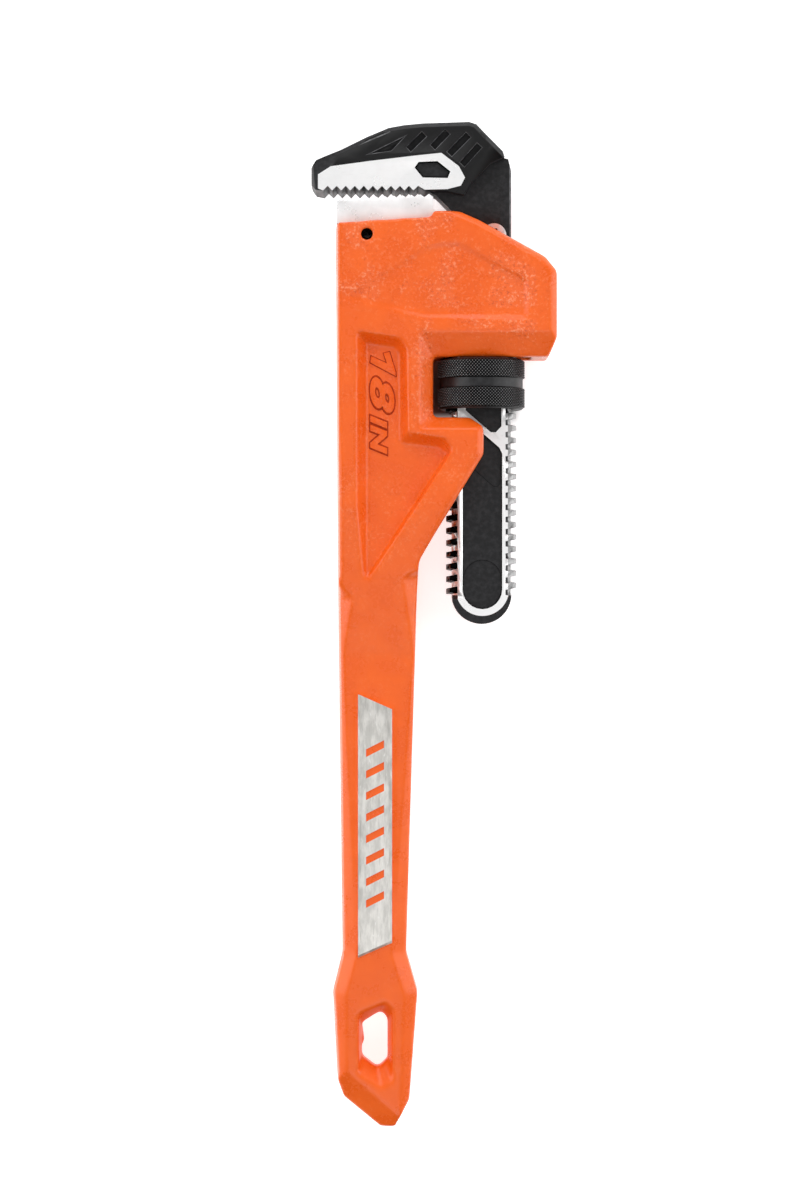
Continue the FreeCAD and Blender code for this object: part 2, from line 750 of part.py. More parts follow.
def make_hook_jaw():
    """The sliding jaw: toothed hook, flat-sided shank and the thread on the shank's two edges."""
    body = body_named("hook_jaw")
    rod = sketch_on(body, "rod", "XZ_Plane", -size("thread_top"))
    circle(rod, 0.0, 0.0, size("thread_radius"))
    pad(body, "rod_blank", rod, size("thread_top") + end_centre, midplane=False)
    for name, lift in (("upper_side", size("shank_half")), ("lower_side", -size("shank_half") - 12.0)):
        side = sketch_on(body, name, lift=lift)
        polygon(side, [(-20.0, -120.0), (20.0, -120.0), (20.0, 30.0), (-20.0, 30.0)])
        pocket(body, name + "_cut", side, 12.0, midplane=False, reverse=True)
    end = sketch_on(body, "shank_end")
    circle(end, 0.0, -end_centre, end_radius)
    pad(body, "shank_end_pad", end, size("shank_half") * 2)
    neck = sketch_on(body, "neck_outline")
    polygon(neck, [
        (-size("shank_front"), size("thread_top") - 1.0),
        (size("shank_back"), size("thread_top") - 1.0),
        (size("shank_back"), size("hook_top") - 19.0),
        (10.5, size("hook_top") - 14.2),
        (-14.0, size("hook_top") - 8.0),
        (-26.0, size("hook_bite") + 4.0),
        (-22.0, size("hook_bite") + 0.3),
        (-18.0, size("hook_bite") - 1.7),
        (-size("shank_front"), size("hook_bite") - 8.9),
    ])
    pad(body, "neck", neck, size("shank_half") * 2)
    head = sketch_on(body, "head_outline")
    tips = size("hook_bite") - size("tooth_drop")
    row = [
        (-size("hook_toe") + 1.6, tips + 0.5),
        (-size("hook_toe") + 4.7, tips),
    ] + teeth(-size("hook_toe") + 6.5, Size.of(-25.2), tips, tips, 10, -size("tooth_deep"))
    polygon(head, row + [
        (-22.6, tips + 0.1),
        (-13.7, size("hook_bite") - 0.6),
        (-7.1, size("hook_bite") - 2.1),
        (-4.4, size("hook_bite") + 2.7),
        (3.4, size("hook_bite") + 10.5),
        (8.9, size("hook_bite") + 12.9),
        (8.2, size("hook_top") - 11.5),
        (2.6, size("hook_top") - 5.9),
        (-2.2, size("hook_top") - 0.9),
        (-5.0, size("hook_top")),
        (-23.2, size("hook_top") - 0.6),
        (-30.8, size("hook_top") - 1.3),
        (-36.8, size("hook_top") - 2.4),
        (-45.2, size("hook_top") - 5.9),
        (-55.8, size("hook_top") - 11.1),
        (-size("hook_toe") + 1.8, size("hook_top") - 15.0),
        (-size("hook_toe"), size("hook_top") - 17.9),
        (-size("hook_toe"), size("hook_bite") + 2.1),
    ])
    pad(body, "head", head, size("hook_half") * 2)
    chamfer(body, "hook_edge", face_edges(body, SIZES["hook_half"], top_of_hook), size("hook_bevel"))
    toe = toe_facet(body)
    face = sketch_on(body, "ground_face", lift=size("hook_half") - 4.0)
    polygon(face, [(-64.6, tips + 0.8)] + row[1:] + [
        (-22.6, tips + 0.3),
        (-13.7, size("hook_bite") + 0.0),
        (-8.3, size("hook_bite") + 1.4),
        (-6.7, size("hook_bite") + 4.6),
        (-9.1, size("hook_bite") + 9.0),
        (-16.0, size("hook_bite") + 14.3),
        (-24.8, size("hook_bite") + 13.4),
        (-45.0, size("hook_bite") + 11.0),
        (-59.6, size("hook_bite") + 9.0),
        (-64.6, size("hook_bite") + 5.8),
    ])
    ground = pad(body, "ground_face_pad", face, size("ground_raise") + 4.0, midplane=False)
    cuts = [toe, ground]
    hollow = sketch_on(body, "face_hollow", lift=size("hook_half") + size("ground_raise"))
    polygon(hollow, [(-25.9, 74.4), (-24.7, 76.1), (-17.7, 76.4), (-13.1, 72.7), (-13.9, 70.8), (-23.1, 71.0)])
    cuts.append(pocket(body, "face_hollow_cut", hollow, size("groove_deep") + size("ground_raise"),
                       midplane=False))
    for number, (x, y, dx, dy) in enumerate(SIDE_GROOVES):
        bar = sketch_on(body, "side_groove_%d" % number, lift=size("hook_half"))
        long = math.hypot(dx, dy)
        nx, ny = -dy / long, dx / long
        polygon(bar, [
            (x - nx * 1.25, y - ny * 1.25),
            (x + dx - nx * 1.25, y + dy - ny * 1.25),
            (x + dx + nx * 1.25, y + dy + ny * 1.25),
            (x + nx * 1.25, y + ny * 1.25),
        ])
        cuts.append(pocket(body, "side_groove_%d_cut" % number, bar, size("groove_deep"), midplane=False))
    flash = sketch_on(body, "side_flash", lift=size("hook_half"))
    polygon(flash, [(-44.2, 79.9), (-35.7, 81.2), (-30.6, 86.6)])
    cuts.append(pocket(body, "side_flash_cut", flash, size("sunk_deep"), midplane=False))
    cuts += shank_recesses(body)
    mirrored(body, "other_side", cuts)
    profile = sketch_on(body, "shank_thread")
    reach = size("thread_radius") + 0.6
    widen = (size("groove_wide") - size("groove_foot")) / size("thread_deep")
    polygon(profile, groove_profile(thread_start(), thread_foot, reach, size("groove_foot"),
                                    size("groove_wide") + widen * 0.6))
    helix(body, "shank_thread_cut", profile, "Y_Axis", size("thread_pitch"), size("thread_pitch") * 24)
    settle(body)
    return body


def toe_facet(body):
    """The flat that falls away across each side of the toe."""
    along = (-0.396, -0.918)
    down = (along[1], -along[0])
    centre = (-56.7, 78.0)
    fall = math.tan(math.radians(SIZES["toe_fall"]))
    made = []
    for name, lift in (("toe_facet_top", 1.0), ("toe_facet_foot", -5.0)):
        near = -lift / fall
        made.append(sketch_on(body, name, lift=size("hook_half") + lift))
        polygon(made[-1], [
            (centre[0] + along[0] * a + down[0] * b, centre[1] + along[1] * a + down[1] * b)
            for a, b in ((-14.0, near), (20.0, near), (20.0, 24.0), (-14.0, 24.0))
        ])
    return loft(body, "toe_facet_cut", made)


def top_of_hook(x, y):
    """Whether a spot of the hook's outline lies along its bevelled top and toe."""
    toe = x < -SIZES["hook_toe"] + 1.0 and y > SIZES["hook_bite"] + 2.0
    return toe or (y > SIZES["hook_top"] - 16.6 and x < 6.0 and not (x > 3.0 and y < SIZES["hook_top"] - 12.0))


SIDE_GROOVES = [
    (-28.9, 81.7, 6.1, 5.9),
    (-19.4, 82.5, 5.8, 6.0),
    (-12.8, 79.8, 7.4, 7.5),
    (-7.8, 75.7, 6.8, 7.5),
]


def shank_recesses(body):
    """The sunk panels in the shank's flat side, with the ground rim left standing round them."""
    half = size("recess_half")
    middle = 0.3
    top = sketch_on(body, "upper_recess", lift=size("shank_half"))
    polygon(top, [
        (3.1, 49.2), (4.0, 51.0), (5.9, 51.0), (6.8, 49.2), (half + middle - 0.3, 8.0), (half + middle - 0.3, -27.1),
        (5.6, -29.4), (3.6, -29.4), (-6.2, -20.8), (-6.2, -8.0),
    ])
    low = sketch_on(body, "lower_recess", lift=size("shank_half"))
    arc = [(middle + half * math.cos(math.radians(a)), -end_centre + 1.9 + half * math.sin(math.radians(a)))
           for a in range(180, 361, 15)]
    polygon(low, arc + [
        (half + middle, -38.0), (half + middle - 1.1, -35.7), (half + middle - 7.2, -30.4), (-half + middle, -23.6),
    ])
    made = [
        pocket(body, "upper_recess_cut", top, size("recess_deep"), midplane=False),
        pocket(body, "lower_recess_cut", low, size("recess_deep"), midplane=False),
    ]
    floor = sketch_on(body, "sunk_panel", lift=face_half)
    polygon(floor, [
        (half + middle - 0.3, -38.0), (half + middle - 1.3, -36.2), (half + middle - 7.4, -30.9),
        (-half + middle + 0.3, -24.1), (-half + middle + 0.3, -40.4), (-1.8, -45.2), (4.7, -50.9), (6.2, -50.9),
        (7.2, -49.8),
    ])
    made.append(pocket(body, "sunk_panel_cut", floor, size("sunk_deep"), midplane=False))
    foot = sketch_on(body, "sunk_end", lift=face_half)
    bow = half - 0.3
    polygon(foot, [
        (middle + bow * math.cos(math.radians(a)), centre + bow * math.sin(math.radians(a)))
        for centre, sweep in ((-end_centre + 1.9, range(180, 361, 15)), (-end_centre + 6.1, range(0, 181, 15)))
        for a in sweep
    ])
    made.append(pocket(body, "sunk_end_cut", foot, size("sunk_deep"), midplane=False))
    return made


def make_flat_spring():
    """The leaf that steadies the shank, its ends curled away from the thread."""
    body = body_named("flat_spring")
    outline = sketch_on(body, "leaf_outline")
    polygon(outline, [
        (leaf_front, size("leaf_low")),
        (leaf_front, size("leaf_high")),
        (leaf_front + 0.8, size("leaf_high") + 2.6),
        (leaf_front + 2.0, size("leaf_high") + 4.0),
        (leaf_front + 2.5, size("leaf_high") + 3.3),
        (leaf_back + 0.6, size("leaf_high") + 1.9),
        (leaf_back, size("leaf_high") - 0.4),
        (leaf_back, size("leaf_low") + 0.4),
        (leaf_back + 0.6, size("leaf_low") - 1.9),
        (leaf_front + 2.5, size("leaf_low") - 3.3),
        (leaf_front + 2.0, size("leaf_low") - 4.0),
        (leaf_front + 0.8, size("leaf_low") - 2.6),
    ])
    pad(body, "leaf", outline, size("leaf_half") * 2)
    hole = sketch_on(body, "leaf_hole", "YZ_Plane", leaf_back + 1.0)
    circle(hole, size("coil_height"), 0.0, size("rivet_radius") + size("pin_gap"))
    pocket(body, "leaf_hole_cut", hole, size("leaf_thick") + 2.0, midplane=False)
    settle(body)
    return body


def make_spring_rivet():
    """The stud on the leaf that the coil spring sits over."""
    body = body_named("spring_rivet")
    shank = sketch_on(body, "rivet_shank", "YZ_Plane", leaf_front)
    circle(shank, size("coil_height"), 0.0, size("rivet_radius"))
    pad(body, "rivet", shank, size("leaf_thick") + 0.5, midplane=False)
    boss = sketch_on(body, "rivet_boss_plan", "YZ_Plane", leaf_back)
    circle(boss, size("coil_height"), 0.0, size("rivet_boss"))
    pad(body, "rivet_boss_pad", boss, size("rivet_tall"), midplane=False)
    settle(body)
    return body


def make_coil_spring():
    """The coil that pushes the leaf and the shank towards the front of the passage."""
    body = body_named("coil_spring")
    wire = sketch_on(body, "wire")
    circle(wire, leaf_back + size("coil_gap") + size("coil_wire"), size("coil_radius"), size("coil_wire"))
    height = size("coil_seat") - leaf_back - size("coil_gap") - size("coil_wire") * 2 - 0.05
    helix(body, "coil", wire, "X_Axis", size("coil_pitch"), height, add=True)
    settle(body, size("coil_height"))
    return body


MAKERS = [
    make_handle, make_heel_jaw, make_heel_jaw_pin, make_adjusting_nut, make_hook_jaw,
    make_flat_spring, make_spring_rivet, make_coil_spring,
]


def export(bodies):
    """Checks every object, then writes one STEP file for each finished piece."""
    doc.recompute()
    for thing in doc.Objects:
        if "Invalid" in thing.State or "Error" in thing.State:
            raise RuntimeError("%s is %s" % (thing.Label, thing.State))
    os.makedirs("parts", exist_ok=True)
    for body in bodies:
        shape = body.Shape
        if shape.isNull() or not shape.isValid() or len(shape.Solids) != 1:
            raise RuntimeError(body.Label + " is not one sound solid")
        shape.exportStep("parts/%s.step" % body.Label)
        print(body.Label, round(shape.Volume / 1000, 2), "cm3")


export([make() for make in MAKERS])
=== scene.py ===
"""A pipe wrench in the round: the cast handle, its two jaws, the adjusting nut and the stage they lie on."""
import math

import bpy
from mathutils import Matrix, Vector


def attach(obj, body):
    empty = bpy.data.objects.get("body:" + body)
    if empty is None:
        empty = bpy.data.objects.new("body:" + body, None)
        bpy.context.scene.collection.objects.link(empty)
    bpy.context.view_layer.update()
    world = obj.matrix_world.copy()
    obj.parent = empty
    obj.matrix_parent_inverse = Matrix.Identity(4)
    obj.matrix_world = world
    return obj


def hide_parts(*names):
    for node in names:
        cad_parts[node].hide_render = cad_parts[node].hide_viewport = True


bl_info = {
    "name": "Pipe wrench",
    "version": (1, 0, 0),
    "blender": (4, 5, 0),
    "location": "3D View > Sidebar > Wrench",
    "description": "Builds a pipe wrench on its packed frame, with enamel, ground steel and knurled finishes",
    "category": "Object",
}

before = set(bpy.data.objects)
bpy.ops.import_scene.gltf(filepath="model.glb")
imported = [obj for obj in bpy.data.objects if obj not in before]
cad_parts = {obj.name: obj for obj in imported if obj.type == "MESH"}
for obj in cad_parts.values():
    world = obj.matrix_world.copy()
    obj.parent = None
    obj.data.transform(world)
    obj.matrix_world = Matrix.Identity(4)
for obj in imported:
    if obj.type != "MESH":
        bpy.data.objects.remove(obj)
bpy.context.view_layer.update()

MM = 0.001
NUT_AXIS = 18.9 * MM
WINDOW_TOP = 105.95 * MM
MIDDLE = 17.5 * MM
SAME = 1e-6


def place(x, y, z=0.0):
    """A point given in millimetres from the nut's axis, the window's top and the middle plane."""
    return Vector((NUT_AXIS + x * MM, WINDOW_TOP + y * MM, MIDDLE + z * MM))


# ---------------------------------------------------------------- objects


def pick(*objects):
    """Selects these objects alone and makes the first one active."""
    if bpy.context.mode != "OBJECT":
        bpy.ops.object.mode_set(mode="OBJECT")
    bpy.ops.object.select_all(action="DESELECT")
    for thing in objects:
        thing.select_set(True)
    bpy.context.view_layer.objects.active = objects[0]


def copy_of(node, name):
    """A free copy of a CAD node with its loose triangles merged."""
    made = bpy.data.objects.new(name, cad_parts[node].data.copy())
    bpy.context.scene.collection.objects.link(made)
    made.data.materials.clear()
    pick(made)
    bpy.ops.object.mode_set(mode="EDIT")
    bpy.ops.mesh.select_all(action="SELECT")
    bpy.ops.mesh.remove_doubles(threshold=2e-6)
    bpy.ops.object.mode_set(mode="OBJECT")
    return made


def modify(thing, kind, **settings):
    """Adds a modifier and applies it."""
    pick(thing)
    made = thing.modifiers.new(kind.title(), kind)
    for name, value in settings.items():
        setattr(made, name, value)
    bpy.ops.object.modifier_apply(modifier=made.name)


def select_only(thing, points=None, edges=None, faces=None):
    """Selects the flagged points, edges or faces of a piece, and nothing else."""
    pick(thing)
    mesh = thing.data
    for items, flags in ((mesh.vertices, points), (mesh.edges, edges), (mesh.polygons, faces)):
        items.foreach_set("select", flags or [False] * len(items))
    mesh.update()


def select_faces(thing, test):
    """Selects the faces whose centre and normal pass the test."""
    select_only(thing, faces=[test(p.center, p.normal) for p in thing.data.polygons])


def select_edges(thing, test, corners=None):
    """Selects the edges whose two ends pass the test; corners limits it to those edges."""
    points = [v.co for v in thing.data.vertices]
    select_only(thing, edges=[
        (corners is None or e.key in corners) and test(points[e.vertices[0]], points[e.vertices[1]])
        for e in thing.data.edges])


def corners_of(thing):
    """The edges where two faces meet at an angle."""
    facing = {}
    for face in thing.data.polygons:
        for key in face.edge_keys:
            facing.setdefault(key, []).append(face.normal)
    return {key for key, normals in facing.items() if len(normals) == 2 and normals[0].dot(normals[1]) < 0.9}


def edit(mode="FACE"):
    bpy.context.scene.tool_settings.mesh_select_mode = [mode == kind for kind in ("VERT", "EDGE", "FACE")]
    bpy.ops.object.mode_set(mode="EDIT")


def done():
    bpy.ops.object.mode_set(mode="OBJECT")


def settle(thing):
    """Bakes an object's place into its mesh."""
    pick(thing)
    bpy.ops.object.transform_apply(location=True, rotation=True, scale=True)


def smooth(thing, angle=35.0):
    pick(thing)
    bpy.ops.object.shade_smooth_by_angle(angle=math.radians(angle))


def block(name, low, high):
    """A box between two corners."""
    centre = (low + high) / 2
    bpy.ops.object.select_all(action="DESELECT")
    bpy.ops.mesh.primitive_cube_add(size=1.0, location=centre)
    made = bpy.context.active_object
    made.name = name
    made.scale = high - low
    settle(made)
    return made


def trim(thing, point, away):
    """Cuts off what lies beyond a plane, and closes the cut."""
    pick(thing)
    edit()
    bpy.ops.mesh.select_all(action="SELECT")
    bpy.ops.mesh.bisect(plane_co=point, plane_no=away, use_fill=True, clear_outer=True)
    done()


def wear(thing, *materials):
    thing.data.materials.clear()
    for material in materials:
        thing.data.materials.append(material)


def finish_piece(thing, body):
    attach(thing, body)


# ---------------------------------------------------------------- materials


class Wire:
    """One output of a material's node tree, with sums written as sums."""

    def __init__(self, tree, socket):
        self.tree = tree
        self.socket = socket

    def maths(self, operation, *others):
        node = self.tree.nodes.new("ShaderNodeMath")
        node.operation = operation
        for slot, value in zip(node.inputs, (self,) + others):
            feed(self.tree, slot, value)
        return Wire(self.tree, node.outputs[0])

    def __add__(self, other):
        return self.maths("ADD", other)

    def __sub__(self, other):
        return self.maths("SUBTRACT", other)

    def __mul__(self, other):
        return self.maths("MULTIPLY", other)

    def __rsub__(self, other):
        return self.maths("MULTIPLY", -1.0).maths("ADD", other)

    def __gt__(self, other):
        return self.maths("GREATER_THAN", other)

    def __lt__(self, other):
        return self.maths("LESS_THAN", other)

    def both(self, other):
        return self.maths("MINIMUM", other)

    def either(self, other):
        return self.maths("MAXIMUM", other)

    def absolute(self):
        return self.maths("ABSOLUTE")

    def power(self, exponent):
        return self.maths("POWER", exponent)

    def between(self, low, high):
        return (self > low).both(self < high)

    def across(self, other):
        """The length of the slope over two legs."""
        return (self.power(2.0) + other.power(2.0)).power(0.5)

    def ramp(self, low, high, out_low=0.0, out_high=1.0):
        """Rises smoothly from out_low to out_high as the value goes from low to high."""
        node = self.tree.nodes.new("ShaderNodeMapRange")
        node.interpolation_type = "SMOOTHSTEP"
        for name, value in (("Value", self), ("From Min", low), ("From Max", high),
                            ("To Min", out_low), ("To Max", out_high)):
            feed(self.tree, node.inputs[name], value)
        return Wire(self.tree, node.outputs[0])


def feed(tree, slot, value):
    """Puts a wire or a plain value in a socket."""
    if isinstance(value, Wire):
        tree.links.new(value.socket, slot)
    elif slot.type == "RGBA" and len(value) == 3:
        slot.default_value = (*value, 1.0)
    else:
        slot.default_value = value


class Finish:
    """A material under construction."""

    def __init__(self, name):
        self.material = bpy.data.materials.new(name)
        self.material.use_nodes = True
        self.tree = self.material.node_tree
        self.tree.nodes.clear()
        self.shader = self.tree.nodes.new("ShaderNodeBsdfPrincipled")
        output = self.tree.nodes.new("ShaderNodeOutputMaterial")
        self.tree.links.new(self.shader.outputs[0], output.inputs["Surface"])
        where = self.tree.nodes.new("ShaderNodeTexCoord")
        self.spot = Wire(self.tree, where.outputs["Object"])
        parts = self.tree.nodes.new("ShaderNodeSeparateXYZ")
        self.tree.links.new(where.outputs["Object"], parts.inputs[0])
        self.x, self.y, self.z = (Wire(self.tree, parts.outputs[i]) for i in range(3))

    def node(self, kind, output, settings=None, **inputs):
        """Any other node: its settings, its inputs by name, and the output wanted."""
        made = self.tree.nodes.new("ShaderNode" + kind)
        for name, value in (settings or {}).items():
            setattr(made, name, value)
        for name, value in inputs.items():
            feed(self.tree, made.inputs[name.replace("_", " ")], value)
        return Wire(self.tree, made.outputs[output])

    def stretched(self, x, y, z):
        return self.node("Mapping", 0, Vector=self.spot, Scale=(x, y, z))

    def noise(self, scale, detail=3.0, rough=0.5, spot=None):
        return self.node("TexNoise", 0, Vector=spot or self.spot, Scale=scale, Detail=detail, Roughness=rough)

    def blend(self, amount, a, b):
        """A colour between a and b."""
        made = self.tree.nodes.new("ShaderNodeMix")
        made.data_type = "RGBA"
        feed(self.tree, made.inputs["Factor"], amount)
        feed(self.tree, made.inputs[6], a)
        feed(self.tree, made.inputs[7], b)
        return Wire(self.tree, made.outputs[2])

    def bump(self, height, distance, strength=1.0, under=None):
        made = self.tree.nodes.new("ShaderNodeBump")
        made.inputs["Distance"].default_value = distance
        feed(self.tree, made.inputs["Strength"], strength)
        feed(self.tree, made.inputs["Height"], height)
        if under is not None:
            feed(self.tree, made.inputs["Normal"], under)
        return Wire(self.tree, made.outputs[0])

    def set(self, **values):
        for name, value in values.items():
            feed(self.tree, self.shader.inputs[name.replace("_", " ")], value)
        return self.material


def pebbling(made):
    """How pebbled the cast skin is: most on the head, less on the window's rim, least down the handle."""
    x, y = made.x - NUT_AXIS, made.y - WINDOW_TOP
    brow = y + (x + 52.5 * MM) * 0.253
    head = brow.ramp(22.0 * MM, 25.5 * MM)
    rims = (x + y * 0.1).ramp(-34.0 * MM, -26.0 * MM) * y.ramp(-60.0 * MM, -20.0 * MM) * (1 - head)
    rims = rims * x.ramp(-21.0 * MM, -17.0 * MM, 1.0, 0.0)
    patches = made.noise(70.0, 2.0, 0.5).ramp(0.40, 0.60, 0.25, 1.0)
    slope = y - 44.0 * MM + (x + 9.1 * MM) * 0.508
    beyond = x.ramp(20.5 * MM, 22.5 * MM).either(slope.ramp(4.5 * MM, 6.5 * MM) * x.ramp(-12.0 * MM, -6.0 * MM))
    hem = y.ramp(13.6 * MM, 14.8 * MM) * y.ramp(18.0 * MM, 20.0 * MM, 1.0, 0.0) * x.ramp(-30.0 * MM, -15.0 * MM)
    calm = 1 - beyond.either(hem) * 0.85
    on_head = head * calm * patches.ramp(0.25, 1.0, 0.35, 1.0)
    on_handle = y.ramp(-150.0 * MM, -60.0 * MM, 0.10, 0.35) * patches
    return on_head.either(rims * patches).either(on_handle)


def cast_enamel(settings):
    """Orange enamel over a sand-cast skin, with painted highlights on its grains and painted shade between them
    where it is pebbled.
    """
    made = Finish("cast_orange_enamel")
    grain = made.noise(820.0, 3.0, 0.62)
    fine = made.noise(2900.0, 2.0, 0.5)
    swell = made.noise(75.0, 3.0, 0.5)
    rough = pebbling(made)
    roughness = swell.ramp(0.3, 0.7, 0.26, 0.36) + grain.ramp(0.45, 0.75, -0.02, 0.06)
    tone = made.blend(swell.ramp(0.3, 0.7), settings.enamel_shade, settings.enamel)
    # Painted highlight: the raised grains are drawn paler, as if catching the light.
    tone = made.blend(grain.ramp(0.54, 0.66) * rough * 0.75, tone, settings.enamel_glint)
    # Painted shade: dark dots between the grains where the skin is pebbled.
    colour = made.blend(grain.ramp(0.32, 0.43, 1.0, 0.0) * rough * 0.5, tone, (0.52, 0.052, 0.005))
    relief = made.bump(swell, 0.35 * MM, 0.35)
    relief = made.bump(grain, 0.55 * MM, rough, relief)
    relief = made.bump(fine, 0.03 * MM, 0.5, relief)
    return made.set(Base_Color=colour, Roughness=roughness, Normal=relief, Coat_Weight=rough * 0.35,
                    Coat_Roughness=0.16, IOR=1.42)


def bare_casting(settings):
    """The pad ground bright through the enamel, with the wheel's marks along it."""
    made = Finish("bare_ground_casting")
    lines = made.noise(1.0, 4.0, 0.65, made.stretched(1900.0, 95.0, 400.0))
    cloud = made.noise(1.0, 3.0, 0.6, made.stretched(420.0, 130.0, 200.0))
    fleck = made.noise(1.0, 2.0, 0.5, made.stretched(1500.0, 420.0, 400.0))
    light = made.blend(cloud.ramp(0.35, 0.68), (0.60, 0.585, 0.55), settings.ground_steel)
    light = made.blend(lines.ramp(0.30, 0.46, 0.55, 0.0), light, (0.42, 0.405, 0.375))
    light = made.blend(fleck.ramp(0.64, 0.74, 0.0, 0.5), light, (0.92, 0.92, 0.90))
    relief = made.bump(lines, 0.05 * MM, 0.6)
    return made.set(Base_Color=light, Metallic=0.7, Roughness=cloud.ramp(0.3, 0.7, 0.30, 0.46), Normal=relief)


def steel_look(made, settings, along):
    """Colour, roughness and height of a freshly ground steel face, its scratches along one direction."""
    scratch = made.noise(1.0, 3.0, 0.6, made.stretched(*along))
    cloud = made.noise(120.0, 3.0, 0.55)
    colour = made.blend(cloud.ramp(0.35, 0.65), settings.bright_shade, settings.bright_steel)
    colour = made.blend(scratch.ramp(0.20, 0.45, 0.16, 0.0), colour, (0.60, 0.60, 0.60))
    return colour, cloud.ramp(0.3, 0.7, 0.26, 0.38), scratch * 0.1


def phosphate_look(made, settings):
    """Colour, roughness and height of black phosphate over a forged skin."""
    skin = made.noise(520.0, 4.0, 0.6)
    swell = made.noise(110.0, 3.0, 0.5)
    fine = made.noise(2600.0, 2.0, 0.5)
    colour = made.blend(skin.ramp(0.35, 0.75), settings.black_steel, settings.black_bloom)
    roughness = swell.ramp(0.3, 0.7, 0.36, 0.50) + fine.ramp(0.4, 0.7, -0.03, 0.05)
    return colour, roughness, skin * 0.5 + swell + fine * 0.1


def hook_zones(made):
    """Masks of the hook jaw: what is ground, its back thread, its front crests, its groove, its top."""
    height = (made.z - MIDDLE).absolute()
    x, y = made.x - NUT_AXIS, made.y - WINDOW_TOP
    thread_end, shank_face, foot = 12.0 * MM, 7.3 * MM, 91.7 * MM
    plate = height > 12.72 * MM
    flat = height.between(7.02 * MM, shank_face)
    round_foot = (x - 0.3 * MM).across(y + foot) < 10.5 * MM
    rim = flat.both(y < thread_end).both(round_foot.either(y > -foot))
    tip = (x - 4.95 * MM).across(y - 48.3 * MM) < 4.85 * MM
    rail = x.between(0.1 * MM, 9.8 * MM).both(y < 49.0 * MM).either(tip).both(flat).both(y > 11.0 * MM)
    threaded = (height < shank_face).both(y.between(-94.0 * MM, thread_end))
    back_thread = threaded.both(x > 10.4 * MM)
    front_thread = threaded.both(x < -8.6 * MM)
    bright = plate.either(rim).either(rail).either(back_thread).either(front_thread)
    front_crest = front_thread.both(x.across(made.z - MIDDLE) > 11.9 * MM)
    groove = height.between(11.5 * MM, 12.3 * MM).both(x.between(-46.0 * MM, 1.5 * MM))
    groove = groove.both(y.between(70.0 * MM, 88.5 * MM)).both((x > -12.0 * MM).either(y > 77.5 * MM))
    return bright, back_thread, front_crest, groove, height > 12.2 * MM


def hook_steel(settings):
    """Black phosphate, ground bright on the toothed plate, the shank's rim and the rail above it, with painted
    shade on the front thread's crests and in the groove, while the back thread is machined steel drawn pale
    grey, partly as a painted reflection of the light on its side.
    """
    made = Finish("hook_jaw_steel")
    bright, back_thread, front_tooth, groove, top = hook_zones(made)
    black, black_rough, black_height = phosphate_look(made, settings)
    steel, steel_rough, steel_height = steel_look(made, settings, (300.0, 1500.0, 300.0))
    # The back thread's pale grey is machined steel and partly a painted reflection of the light on its side.
    steel = made.blend(back_thread, steel, (0.40, 0.40, 0.40))
    # Painted shade: the front thread's crests and the groove are drawn near-black and unlit.
    unlit = front_tooth.either(groove * 0.6)
    black = made.blend(top, black, (0.006, 0.006, 0.0065))
    black = made.blend(unlit, black, (0.003, 0.003, 0.003))
    relief = black_height * (1 - bright) + steel_height * bright
    bright = bright * (1 - front_tooth)
    return made.set(Base_Color=made.blend(bright, black, steel), Metallic=(bright * 0.6).either(unlit),
                    Roughness=black_rough * (1 - bright) + steel_rough * bright,
                    Normal=made.bump(relief, 0.22 * MM, 0.5), IOR=1.34)


def plain_phosphate(settings, name):
    """Black phosphate with no wear."""
    made = Finish(name)
    colour, roughness, height = phosphate_look(made, settings)
    return made.set(Base_Color=colour, Roughness=roughness, Normal=made.bump(height, 0.08 * MM, 0.5), IOR=1.4)


def knurl_phosphate(settings):
    """Black phosphate drawn paler on the points of the knurl, partly rubbed and partly a painted highlight,
    with painted shade in its valleys.
    """
    made = Finish("nut_knurl_phosphate")
    colour, roughness, height = phosphate_look(made, settings)
    out = (made.x - NUT_AXIS).across(made.z - MIDDLE)
    # The paler points are partly rubbed phosphate and partly a painted highlight; the valleys get painted
    # shade.
    worn = out.ramp(settings.nut_radius - 0.22 * MM, settings.nut_radius - 0.04 * MM)
    valley = out.ramp(settings.nut_radius - 0.40 * MM, settings.nut_radius - 0.25 * MM, 1.0, 0.0)
    colour = made.blend(worn, made.blend(valley, colour, (0.003, 0.003, 0.003)), (0.34, 0.34, 0.345))
    return made.set(Base_Color=colour, Roughness=roughness, Metallic=(worn * 0.5).either(valley),
                    Normal=made.bump(height, 0.04 * MM, 0.5), IOR=1.4)


def crease_shade_black(settings):
    """Painted shade: a near-black line where a recess meets the face it is sunk in."""
    made = Finish("recess_edge_painted_shade")
    cloud = made.noise(700.0, 2.0, 0.5)
    colour = made.blend(cloud.ramp(0.3, 0.7), (0.002, 0.002, 0.002), (0.007, 0.007, 0.007))
    return made.set(Base_Color=colour, Roughness=cloud.ramp(0.3, 0.7, 0.6, 0.8), Metallic=1.0,
                    Normal=made.bump(cloud, 0.03 * MM, 0.4))


def rubbed_and_highlit_black(settings):
    """Phosphate drawn paler along an edge: partly rubbed, partly a painted highlight."""
    made = Finish("edge_wear_and_painted_highlight")
    cloud = made.noise(420.0, 3.0, 0.55)
    colour = made.blend(cloud.ramp(0.35, 0.65), (0.05, 0.05, 0.053), (0.12, 0.12, 0.125))
    return made.set(Base_Color=colour, Roughness=cloud.ramp(0.3, 0.7, 0.30, 0.45), Metallic=0.3,
                    Normal=made.bump(cloud, 0.03 * MM, 0.4))


